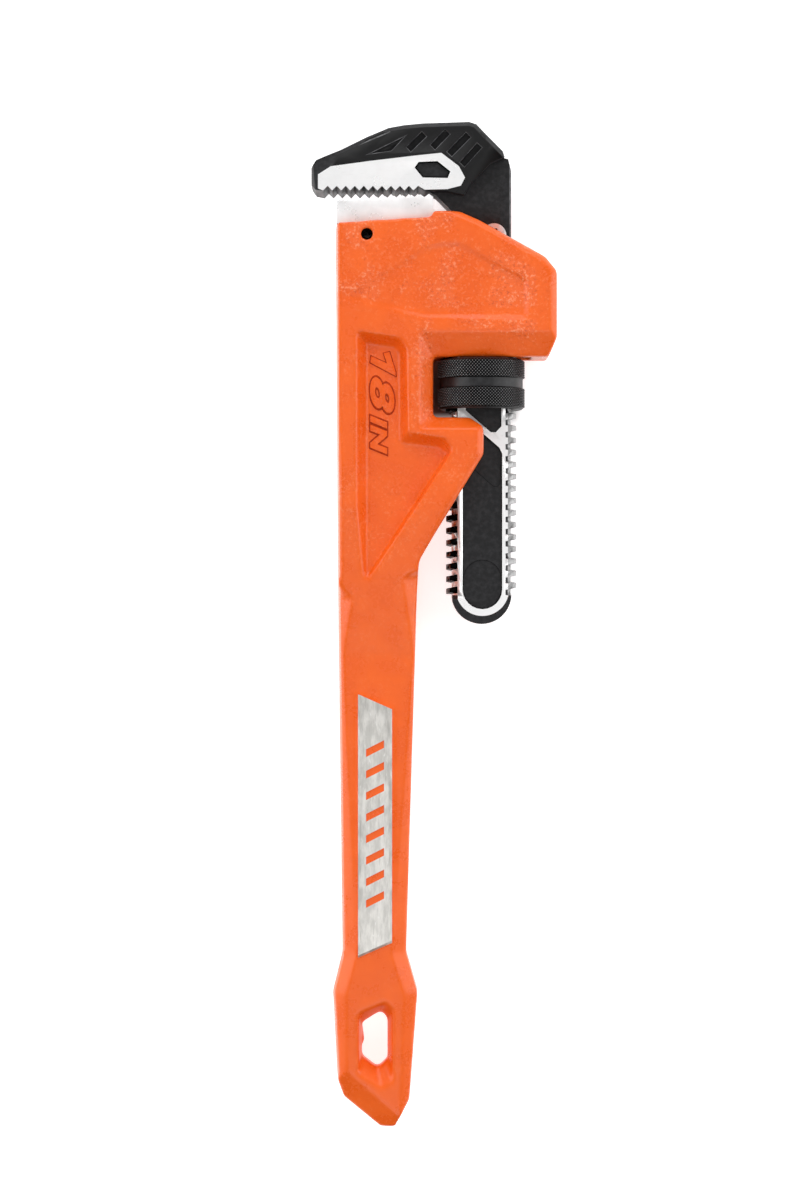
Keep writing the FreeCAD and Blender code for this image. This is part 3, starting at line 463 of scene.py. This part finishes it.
def heel_steel(settings):
    """Ground bright on the two cheeks, grey on the sides between them."""
    made = Finish("heel_jaw_ground_steel")
    colour, roughness, height = steel_look(made, settings, (1500.0, 300.0, 300.0))
    cheek = (made.z - MIDDLE).absolute() > 12.3 * MM
    side, side_rough, side_height = phosphate_look(made, settings)
    side = made.blend(0.5, side, (0.20, 0.20, 0.20))
    return made.set(Base_Color=made.blend(cheek, side, colour), Metallic=0.35,
                    Roughness=side_rough * (1 - cheek) + roughness * cheek,
                    Normal=made.bump(height, 0.2 * MM, 0.5))


def spring_temper():
    """Blued spring steel."""
    made = Finish("spring_temper")
    cloud = made.noise(260.0, 3.0, 0.5)
    colour = made.blend(cloud.ramp(0.35, 0.65), (0.10, 0.105, 0.115), (0.17, 0.175, 0.19))
    return made.set(Base_Color=colour, Metallic=0.9, Roughness=cloud.ramp(0.3, 0.7, 0.28, 0.40),
                    Normal=made.bump(cloud, 0.02 * MM, 0.4))


def mark_shade_enamel(settings):
    """Darker enamel tone laid in the crease round a raised mark as painted shade."""
    made = Finish("mark_outline_painted_shade")
    cloud = made.noise(500.0, 2.0, 0.5)
    colour = made.blend(cloud.ramp(0.3, 0.7), (0.33, 0.030, 0.004), (0.46, 0.050, 0.007))
    return made.set(Base_Color=colour, Roughness=cloud.ramp(0.3, 0.7, 0.70, 0.85), IOR=1.25,
                    Normal=made.bump(cloud, 0.03 * MM, 0.5))


# ---------------------------------------------------------------- settings


class WrenchSettings(bpy.types.PropertyGroup):
    """Sizes and colours of the wrench's finishes."""

    skin: bpy.props.FloatProperty(
        name="Casting skin", description="Grid size that the casting's skin is rebuilt on", default=0.85 * MM,
        min=0.4 * MM, max=3.0 * MM, unit="LENGTH", precision=5)
    draft: bpy.props.FloatProperty(
        name="Draft", description="How far the front wall leans in at the cheeks", default=1.0 * MM,
        unit="LENGTH", precision=5)
    softness: bpy.props.IntProperty(
        name="Edge softness", description="How many times the casting's edges are smoothed", default=5,
        min=0, max=40)
    # The sloped black edge round each recess is painted shade.
    crease_wide: bpy.props.FloatProperty(
        name="Crease width", description="Width of the sloped black edge round each recess", default=0.75 * MM,
        unit="LENGTH", precision=5)
    ground_edge: bpy.props.FloatProperty(
        name="Ground edge", description="Rounding of the heel jaw's edges", default=0.15 * MM, unit="LENGTH",
        precision=5)
    knurl_count: bpy.props.IntProperty(
        name="Knurl count", description="Diamonds round each knurled band", default=84, min=24, max=160)
    knurl_deep: bpy.props.FloatProperty(
        name="Knurl depth", description="Height of the knurl's points", default=0.42 * MM, unit="LENGTH",
        precision=5)
    nut_radius: bpy.props.FloatProperty(
        name="Nut radius", description="Radius over the knurl's points", default=17.4 * MM, unit="LENGTH",
        precision=5)
    bar_count: bpy.props.IntProperty(
        name="Bars", description="Slanted bars let into the bare pad", default=8, min=1, max=16)
    enamel: bpy.props.FloatVectorProperty(
        name="Enamel", description="Colour of the enamel", default=(0.90, 0.128, 0.008), size=3,
        subtype="COLOR")
    enamel_shade: bpy.props.FloatVectorProperty(
        name="Enamel shade", description="Its deeper tone", default=(0.84, 0.110, 0.006), size=3,
        subtype="COLOR")
    # This colour is a painted highlight on the casting's raised grains.
    enamel_glint: bpy.props.FloatVectorProperty(
        name="Enamel light", description="Its tone on the casting's raised grains", default=(1.0, 0.32, 0.15),
        size=3, subtype="COLOR")
    ground_steel: bpy.props.FloatVectorProperty(
        name="Ground casting", description="Colour of the bare pad", default=(0.80, 0.78, 0.74), size=3,
        subtype="COLOR")
    bright_steel: bpy.props.FloatVectorProperty(
        name="Bright steel", description="Colour of the ground jaw faces", default=(0.96, 0.96, 0.96), size=3,
        subtype="COLOR")
    bright_shade: bpy.props.FloatVectorProperty(
        name="Bright shade", description="Its greyer clouds", default=(0.90, 0.90, 0.90), size=3,
        subtype="COLOR")
    black_steel: bpy.props.FloatVectorProperty(
        name="Black steel", description="Colour of the phosphated forgings", default=(0.010, 0.010, 0.011),
        size=3, subtype="COLOR")
    black_bloom: bpy.props.FloatVectorProperty(
        name="Phosphate bloom", description="The greyer tone in the phosphate", default=(0.024, 0.024, 0.026),
        size=3, subtype="COLOR")
    eye_height: bpy.props.FloatProperty(
        name="Camera height", description="Height of the camera above the wrench's face", default=1.25,
        unit="LENGTH")
    view_tall: bpy.props.FloatProperty(
        name="View height", description="Height of the picture at the wrench's face", default=0.4729,
        unit="LENGTH")


class Maker:
    """What every button of the add-on shares."""

    bl_options = {"REGISTER", "UNDO"}

    def execute(self, context):
        self.make(context.scene.wrench)
        return {"FINISHED"}


class WRENCH_OT_casting(Maker, bpy.types.Operator):
    """Rebuild the cast handle and head with soft edges and orange enamel"""
    bl_idname = "wrench.casting"
    bl_label = "Cast handle"

    def make(self, wants):
        made = copy_of("handle", "cast_handle")
        self.draft_front(made, wants)
        modify(made, "REMESH", mode="VOXEL", voxel_size=wants.skin)
        if wants.softness:
            modify(made, "SMOOTH", factor=0.5, iterations=wants.softness)
        smooth(made, 180.0)
        wear(made, cast_enamel(wants))
        finish_piece(made, "handle")
        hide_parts("handle")

    def draft_front(self, made, wants):
        """Leans the front wall in from the parting line to both cheeks."""
        def on_wall(centre, normal):
            return normal.x < -0.97 and centre.x < place(-53.5, 0.0).x

        select_faces(made, on_wall)
        edit()
        bpy.ops.mesh.bisect(plane_co=place(0.0, 0.0), plane_no=(0.0, 0.0, 1.0))
        done()
        points = made.data.vertices
        walls = {v for face in made.data.polygons if on_wall(face.center, face.normal) for v in face.vertices
                 if abs(points[v].co.z - MIDDLE) > 6.0 * MM}
        select_only(made, points=[v.index in walls for v in points])
        edit("VERT")
        bpy.ops.transform.translate(value=(wants.draft, 0.0, 0.0))
        done()


class WRENCH_OT_bare_pads(Maker, bpy.types.Operator):
    """Lay the bare ground face on each side of the handle, with slanted enamel bars let into it"""
    bl_idname = "wrench.bare_pads"
    bl_label = "Bare pads"

    BARS_FROM, BARS_LONG, BAR_HALF, BAR_TURN = -154.5, 68.0, 1.35, math.radians(-27.0)

    def make(self, wants):
        bare = bare_casting(wants)
        enamel = cast_enamel(wants)
        for side, name in ((1, "bare_pad_upper"), (-1, "bare_pad_lower")):
            self.pad(wants, side, name, bare, enamel)

    def pad(self, wants, side, name, bare, enamel):
        made = block(name, place(-48.9, -237.4, 9.6), place(-35.4, -133.0, 10.8))
        across = Vector((5.9, 13.5, 0.0)).normalized()
        trim(made, place(-48.9, -133.1), across)
        low = Vector((5.9, -13.5, 0.0)).normalized()
        trim(made, place(-48.9, -237.2), low)
        trim(made, place(-48.9, -237.2, 9.9), low * 0.9 + Vector((0.0, 0.0, 3.4)))
        modify(made, "BEVEL", width=0.18 * MM, segments=2, limit_method="ANGLE", angle_limit=math.radians(12.0))
        cutters = []
        step = self.BARS_LONG / wants.bar_count
        for number in range(wants.bar_count):
            y = self.BARS_FROM - step * (number + 0.5) + step / 2
            bar = block("bar", place(-48.0, y - self.BAR_HALF, 9.0), place(-36.0, y + self.BAR_HALF, 12.0))
            pick(bar)
            edit()
            bpy.ops.mesh.select_all(action="SELECT")
            bpy.ops.transform.rotate(value=self.BAR_TURN, orient_axis="Z", center_override=place(-42.1, y))
            done()
            trim(bar, place(-45.7, y), Vector((-1.0, 0.0, 0.0)))
            trim(bar, place(-38.6, y), Vector((1.0, 0.0, 0.0)))
            cutters.append(bar)
        pick(*cutters)
        bpy.ops.object.join()
        cutter = bpy.context.active_object
        modify(made, "BOOLEAN", operation="DIFFERENCE", solver="EXACT", object=cutter)
        bpy.data.objects.remove(cutter)
        smooth(made, 25.0)
        wear(made, bare, enamel)
        for face in made.data.polygons:
            face.material_index = 0 if face.normal.z > 0.5 else 1
        if side < 0:
            turn_over(made)
        finish_piece(made, "handle")


def turn_over(thing):
    """Mirrors a piece to the wrench's other cheek."""
    pick(thing)
    edit()
    bpy.ops.mesh.select_all(action="SELECT")
    bpy.ops.transform.resize(value=(1.0, 1.0, -1.0), center_override=(0.0, 0.0, MIDDLE))
    bpy.ops.mesh.flip_normals()
    done()


class WRENCH_OT_size_mark(Maker, bpy.types.Operator):
    """Raise the size mark in the pocket of each cheek, with dark tubes round it as painted shade"""
    bl_idname = "wrench.size_mark"
    bl_label = "Size mark"

    WORDS = (("8", 12.6, 1.88, -7.1), ("IN", 8.5, 1.45, -23.1))
    ONE = ((-43.6, 0.0), (-43.9, -2.3), (-34.1, -7.5), (-34.1, -6.2), (-36.5, 1.7), (-38.6, 1.2), (-37.3, -2.9))

    def make(self, wants):
        enamel = cast_enamel(wants)
        outline_shade = mark_shade_enamel(wants)
        for side in (1, -1):
            cheek = "upper" if side > 0 else "lower"
            marks = []
            # The second pass lays dark tubes round each figure: painted shade in the crease round the raised
            # mark.
            for height, thick, edge, fill, bold, coat in (
                    (12.05, 0.45, 0.12, "BOTH", 0.30, enamel), (12.08, 0.0, 0.45, "NONE", 0.42, outline_shade)):
                shape = (thick * MM, edge * MM, fill, bold * MM)
                kind = "mark" if fill == "BOTH" else "mark_shade_line"
                marks.append((self.one(shape, height), "%s_1_%s" % (kind, cheek), coat))
                for word, tall, wide, start in self.WORDS:
                    made = self.word(word, tall, wide, start, shape, height)
                    marks.append((made, "%s_%s_%s" % (kind, word.lower(), cheek), coat))
            for made, name, coat in marks:
                made.name = name
                if side < 0:
                    self.turn_round(made)
                wear(made, coat)
                smooth(made, 40.0)
                finish_piece(made, "handle")

    def word(self, word, tall, wide, start, shape, height):
        """A word in the pocket, reading away from the jaws."""
        bpy.ops.object.select_all(action="DESELECT")
        bpy.ops.object.text_add()
        made = bpy.context.active_object
        made.data.body = word
        made.data.size = tall * MM
        made.data.shear = 0.28
        made.data.space_character = 1.08
        made = self.cast(made, shape)
        made.scale = (wide, 1.0, 1.0)
        settle(made)
        made.matrix_world = (
            Matrix.Translation(place(-43.6, start, height)) @ Matrix.Rotation(-math.pi / 2, 4, "Z"))
        settle(made)
        return made

    def one(self, shape, height):
        """The figure one with its long flag, corner by corner."""
        line = bpy.data.curves.new("one", "CURVE")
        line.dimensions = "2D"
        corners = line.splines.new("POLY")
        corners.points.add(len(self.ONE) - 1)
        for point, (x, y) in zip(corners.points, self.ONE):
            point.co = (*place(x, y).xy, 0.0, 1.0)
        corners.use_cyclic_u = True
        made = bpy.data.objects.new("one", line)
        bpy.context.scene.collection.objects.link(made)
        pick(made)
        made = self.cast(made, shape[:3] + (0.0,))
        made.location = (0.0, 0.0, place(0.0, 0.0, height).z)
        settle(made)
        return made

    def cast(self, made, shape):
        """Gives a flat outline its thickness and rounded edge, and turns it into a closed mesh."""
        made.data.extrude, made.data.bevel_depth, made.data.fill_mode, made.data.offset = shape
        made.data.bevel_resolution = 1
        bpy.ops.object.convert(target="MESH")
        made = bpy.context.active_object
        edit()
        bpy.ops.mesh.select_all(action="SELECT")
        bpy.ops.mesh.remove_doubles(threshold=SAME)
        bpy.ops.mesh.normals_make_consistent(inside=False)
        done()
        return made

    def turn_round(self, made):
        """Turns a mark over to the lower cheek, where it still reads the right way."""
        middle = place(-39.4, 0.0)
        made.matrix_world = (
            Matrix.Translation(middle) @ Matrix.Rotation(math.pi, 4, "Y") @ Matrix.Translation(-middle))
        settle(made)


def clean_copy(node, name):
    """A copy of a machined or forged node, its flat faces whole again."""
    made = copy_of(node, name)
    edit()
    bpy.ops.mesh.select_all(action="SELECT")
    bpy.ops.mesh.dissolve_limited(angle_limit=math.radians(0.4))
    done()
    return made


class WRENCH_OT_heel_jaw(Maker, bpy.types.Operator):
    """Ground bright heel jaw with its edges just broken"""
    bl_idname = "wrench.heel_jaw"
    bl_label = "Heel jaw"

    def make(self, wants):
        made = clean_copy("heel_jaw", "heel_jaw_ground")
        modify(made, "BEVEL", width=wants.ground_edge, segments=2, limit_method="ANGLE",
               angle_limit=math.radians(30.0))
        smooth(made, 38.0)
        wear(made, heel_steel(wants))
        finish_piece(made, "handle")
        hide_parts("heel_jaw")


class WRENCH_OT_hook_jaw(Maker, bpy.types.Operator):
    """Hook jaw in black phosphate with its ground toothed face, shank rim and rail"""
    bl_idname = "wrench.hook_jaw"
    bl_label = "Hook jaw"

    def make(self, wants):
        made = clean_copy("hook_jaw", "hook_jaw_forging")
        # Slot 1 is painted crease shade; slot 2 is a paler edge, partly wear and partly painted highlight.
        wear(made, hook_steel(wants), crease_shade_black(wants), rubbed_and_highlit_black(wants))
        for side in (1, -1):
            trim(made, place(-65.9, 70.0, 10.9 * side), Vector((-0.85, 0.0, 0.53 * side)))
        # Recess and hollow edges get painted shade; groove and neck edges get the paler, partly painted
        # highlight.
        self.break_edges(made, self.recess_edge, wants.crease_wide, 1, 1)
        self.break_edges(made, self.hollow_edge, wants.crease_wide * 0.7, 1, 1)
        self.break_edges(made, self.groove_edge, 0.30 * MM, 1, 2)
        self.break_edges(made, self.neck_edge, 0.75 * MM, 2, 2)
        smooth(made, 30.0)
        for face in made.data.polygons:
            if abs(face.normal.z) < 0.1 and place(0.0, 60.0).y < face.center.y < place(0.0, 70.0).y:
                face.use_smooth = False
        finish_piece(made, "hook_jaw")
        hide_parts("hook_jaw")

    def break_edges(self, made, test, wide, steps, finish):
        """Bevels the edges of one kind, and gives the new faces the material whose slot is finish: painted
        crease shade in slot 1, a paler edge that is partly painted highlight in slot 2.
        """
        select_edges(made, lambda a, b: test(self.from_nut(a), self.from_nut(b)), corners_of(made))
        edit("EDGE")
        bpy.ops.mesh.bevel(offset=wide, offset_type="OFFSET", segments=steps, material=finish,
                           clamp_overlap=True, loop_slide=False)
        done()

    def from_nut(self, point):
        """A point's place in millimetres, counted as place() counts."""
        return ((point.x - NUT_AXIS) / MM, (point.y - WINDOW_TOP) / MM, abs(point.z - MIDDLE) / MM)

    def level(self, a, b, height):
        return abs(a[2] - height) < 0.02 and abs(b[2] - height) < 0.02

    def recess_edge(self, a, b):
        inside = all(abs(p[0] - 0.3) < 7.9 and p[1] < 51.3 and p[1] > -101.0 for p in (a, b))
        if self.level(a, b, 7.1):
            return inside and all(math.hypot(p[0] - 4.95, p[1] - 48.3) < 4.2 or p[1] < 48.0 for p in (a, b))
        return inside and self.level(a, b, 6.2)

    def hollow_edge(self, a, b):
        return self.level(a, b, 12.9) and all(-27.0 < p[0] < -12.5 and 70.2 < p[1] < 77.0 for p in (a, b))

    def groove_edge(self, a, b):
        return self.level(a, b, 12.5) and all(
            -46.0 < p[0] < 1.5 and p[1] < 89.5 and self.above_plate(p) for p in (a, b))

    def above_plate(self, p):
        """Whether a point lies beyond the upper outline of the ground plate."""
        ridge = 79.75 + min(0.0, p[0] + 24.8) * 0.12 + max(0.0, min(p[0], -16.0) + 24.8) * 0.1
        return p[1] > ridge - max(0.0, p[0] + 16.0) * 0.75

    def neck_edge(self, a, b):
        return self.level(a, b, 7.1) and all(p[0] > 11.0 and p[1] > 12.5 for p in (a, b))


class WRENCH_OT_nut(Maker, bpy.types.Operator):
    """Adjusting nut: threaded core, plain collar and two diamond-knurled bands"""
    bl_idname = "wrench.nut"
    bl_label = "Adjusting nut"

    COLLAR = (-0.75, -19.95)
    BANDS = (("nut_knurl_upper", -1.05, -7.95), ("nut_knurl_lower", -12.05, -19.55))
    LIP, BORE = 16.1, 15.0

    def make(self, wants):
        core = copy_of("adjusting_nut", "nut_core")
        axis = place(0.0, 0.0)
        select_only(core, points=[
            math.hypot(v.co.x - axis.x, v.co.z - axis.z) > 16.2 * MM for v in core.data.vertices])
        edit("VERT")
        bpy.ops.transform.resize(value=(0.93, 1.0, 0.93), center_override=axis)
        done()
        smooth(core, 35.0)
        plain = plain_phosphate(wants, "nut_plain_phosphate")
        wear(core, plain)
        finish_piece(core, "nut")
        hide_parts("adjusting_nut")
        collar = self.collar(wants)
        wear(collar, plain)
        finish_piece(collar, "nut")
        knurled = knurl_phosphate(wants)
        for name, high, low in self.BANDS:
            band = self.band(wants, name, high, low)
            wear(band, knurled)
            finish_piece(band, "nut")

    def collar(self, wants):
        """The smooth ring between the knurled bands, with its ends turned in."""
        radius = wants.nut_radius - 0.85 * MM
        made = self.tube("nut_collar", 96, radius, *self.COLLAR)
        self.turn_in(made, *self.COLLAR, radius, 0.35)
        smooth(made, 30.0)
        return made

    def tube(self, name, sides, radius, high, low):
        bpy.ops.object.select_all(action="DESELECT")
        bpy.ops.mesh.primitive_cylinder_add(
            vertices=sides, radius=radius, depth=(high - low) * MM, end_fill_type="NOTHING",
            location=place(0.0, (high + low) / 2), rotation=(math.pi / 2, 0.0, 0.0))
        made = bpy.context.active_object
        made.name = name
        settle(made)
        return made

    def turn_in(self, made, high, low, radius, fall):
        """Turns both ends in towards the bore and joins them there."""
        axis = place(0.0, (high + low) / 2)
        for level, out in ((place(0.0, high).y, fall), (place(0.0, low).y, -fall)):
            select_edges(made, lambda a, b, s=level: abs(a.y - s) < SAME and abs(b.y - s) < SAME)
            edit("EDGE")
            bpy.ops.mesh.extrude_edges_move()
            drawn_in = self.LIP * MM / radius
            bpy.ops.transform.resize(value=(drawn_in, 1.0, drawn_in), center_override=axis)
            bpy.ops.transform.translate(value=(0.0, out * MM, 0.0))
            bpy.ops.mesh.extrude_edges_move()
            drawn_in = self.BORE / self.LIP
            bpy.ops.transform.resize(value=(drawn_in, 1.0, drawn_in), center_override=axis)
            done()
        select_edges(made, lambda a, b: all(
            math.hypot(p.x - axis.x, p.z - axis.z) < 15.3 * MM for p in (a, b)) and abs(a.y - b.y) < SAME)
        edit("EDGE")
        bpy.ops.mesh.bridge_edge_loops()
        bpy.ops.mesh.select_all(action="SELECT")
        bpy.ops.mesh.normals_make_consistent(inside=False)
        done()

    def band(self, wants, name, high, low):
        """A ring of small pyramids: squares turned into diamonds, each drawn out to a point."""
        valley = wants.nut_radius - wants.knurl_deep
        rows = round((high - low) * MM / (2 * math.pi * wants.nut_radius / wants.knurl_count))
        made = self.tube(name, wants.knurl_count, valley, high, low)
        select_edges(made, lambda a, b: abs(a.y - b.y) > 1.0 * MM)
        edit("EDGE")
        bpy.ops.mesh.subdivide(number_cuts=rows - 1)
        bpy.ops.mesh.select_all(action="SELECT")
        bpy.ops.mesh.poke(offset=0.0, center_mode="MEDIAN")
        done()
        top, foot = place(0.0, high).y, place(0.0, low).y

        def square_side(a, b):
            level = abs(a.y - b.y) < SAME
            upright = math.hypot(a.x - b.x, a.z - b.z) < SAME
            on_rim = level and (abs(a.y - top) < SAME or abs(a.y - foot) < SAME)
            return (level or upright) and not on_rim

        select_edges(made, square_side)
        edit("EDGE")
        bpy.ops.mesh.dissolve_edges(use_verts=False)
        bpy.ops.mesh.select_all(action="SELECT")
        bpy.ops.mesh.poke(offset=wants.knurl_deep, center_mode="MEDIAN")
        done()
        self.turn_in(made, high, low, valley, 0.55)
        smooth(made, 12.0)
        return made


class WRENCH_OT_springs(Maker, bpy.types.Operator):
    """Finishes of the steel inside the head: the leaf, its stud and the coil in blued steel, and the rolled pin
    near-black as painted shade in its hole
    """
    bl_idname = "wrench.springs"
    bl_label = "Springs and pin"

    def make(self, wants):
        temper = spring_temper()
        for node in ("flat_spring", "spring_rivet", "coil_spring"):
            wear(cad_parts[node], temper)
        # Painted shade: the pin is drawn near-black so its hole reads dark.
        wear(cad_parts["heel_jaw_pin"], crease_shade_black(wants))


class WRENCH_OT_stage(Maker, bpy.types.Operator):
    """Pale floor with a painted shadow patch under the window, soft studio light and the camera over the wrench
    """
    bl_idname = "wrench.stage"
    bl_label = "Stage"

    def make(self, wants):
        scene = bpy.context.scene
        scene.view_settings.view_transform = "Standard"
        bpy.ops.object.select_all(action="DESELECT")
        bpy.ops.mesh.primitive_plane_add(size=12.0)
        floor = bpy.context.active_object
        floor.name = "floor"
        paper = Finish("floor_paper")
        shade = paper.noise(3.0, 2.0, 0.5)
        # Painted shadow: under the window a patch of floor is dark grey and does not glow, so the gap reads
        # dark.
        across = paper.x.ramp(-0.012, -0.006) * paper.x.ramp(0.030, 0.036, 1.0, 0.0)
        outside_painted_shadow = 1 - across * paper.y.ramp(0.080, 0.086) * paper.y.ramp(0.106, 0.112, 1.0, 0.0)
        white = paper.blend(shade, (0.86, 0.86, 0.86), (0.88, 0.88, 0.88))
        wear(floor, paper.set(Base_Color=paper.blend(outside_painted_shadow, (0.20, 0.20, 0.20), white), Roughness=0.9,
                              Emission_Color=paper.blend(outside_painted_shadow, (0.0, 0.0, 0.0), (1.0, 1.0, 1.0)),
                              Emission_Strength=0.60))
        self.sky()
        self.softbox("left_softbox", (-0.95, 0.10, 0.50), (0.7, 1.3), 5.6)
        self.softbox("right_softbox", (1.0, 0.10, 0.55), (0.7, 1.3), 5.2)
        self.softbox("jaw_softbox", (0.05, 1.1, 0.75), (1.2, 0.7), 7.0)
        self.softbox("grip_softbox", (0.05, -0.85, 1.35), (1.2, 0.6), 5.2)
        self.softbox("top_softbox", (0.0, 0.0, 2.2), (0.8, 1.5), 3.2)
        self.camera(wants)

    def sky(self):
        """Bright low down all round, more so beyond the jaws, and dim overhead."""
        world = bpy.data.worlds.new("studio")
        world.use_nodes = True
        tree = world.node_tree
        aim = tree.nodes.new("ShaderNodeTexCoord")
        parts = tree.nodes.new("ShaderNodeSeparateXYZ")
        tree.links.new(aim.outputs["Generated"], parts.inputs[0])
        ahead, up = Wire(tree, parts.outputs[1]), Wire(tree, parts.outputs[2])
        low = ahead.ramp(-0.95, -0.15, 0.06, 0.92)
        level = low + up.ramp(0.0, 0.75) * (0.24 - low)
        back = tree.nodes["Background"]
        back.inputs["Color"].default_value = (1.0, 1.0, 1.0, 1.0)
        tree.links.new(level.socket, back.inputs["Strength"])
        bpy.context.scene.world = world

    def softbox(self, name, spot, measure, power):
        light = bpy.data.lights.new(name, "AREA")
        light.shape = "RECTANGLE"
        light.size, light.size_y = measure
        light.energy = power
        made = bpy.data.objects.new(name, light)
        bpy.context.scene.collection.objects.link(made)
        made.location = spot
        aim = Vector((0.0, 0.0, 0.0)) - Vector(spot)
        made.rotation_euler = aim.to_track_quat("-Z", "Y").to_euler()
        made.visible_camera = False

    def camera(self, wants):
        lens = bpy.data.cameras.new("camera")
        lens.sensor_fit = "VERTICAL"
        lens.sensor_height = 36.0
        lens.lens = 36.0 * wants.eye_height / wants.view_tall
        made = bpy.data.objects.new("camera", lens)
        bpy.context.scene.collection.objects.link(made)
        face = place(-32.3, -96.1, 13.0)
        made.location = (face.x, face.y, face.z + wants.eye_height)
        bpy.context.scene.camera = made


class WRENCH_PT_panel(bpy.types.Panel):
    """The wrench's pieces and their settings"""
    bl_idname = "WRENCH_PT_panel"
    bl_label = "Pipe wrench"
    bl_space_type = "VIEW_3D"
    bl_region_type = "UI"
    bl_category = "Wrench"

    def draw(self, context):
        for name in WrenchSettings.__annotations__:
            self.layout.prop(context.scene.wrench, name)
        for button in BUTTONS:
            self.layout.operator(button.bl_idname)


BUTTONS = [
    WRENCH_OT_stage, WRENCH_OT_casting, WRENCH_OT_bare_pads, WRENCH_OT_size_mark, WRENCH_OT_heel_jaw,
    WRENCH_OT_hook_jaw, WRENCH_OT_nut, WRENCH_OT_springs,
]


def register():
    for kind in [WrenchSettings, *BUTTONS, WRENCH_PT_panel]:
        bpy.utils.register_class(kind)
    bpy.types.Scene.wrench = bpy.props.PointerProperty(type=WrenchSettings)


def unregister():
    del bpy.types.Scene.wrench
    for kind in [WRENCH_PT_panel, *reversed(BUTTONS), WrenchSettings]:
        bpy.utils.unregister_class(kind)


def main():
    register()
    for button in BUTTONS:
        group, name = button.bl_idname.split(".")
        getattr(getattr(bpy.ops, group), name)()


if __name__ == "__main__":
    main()
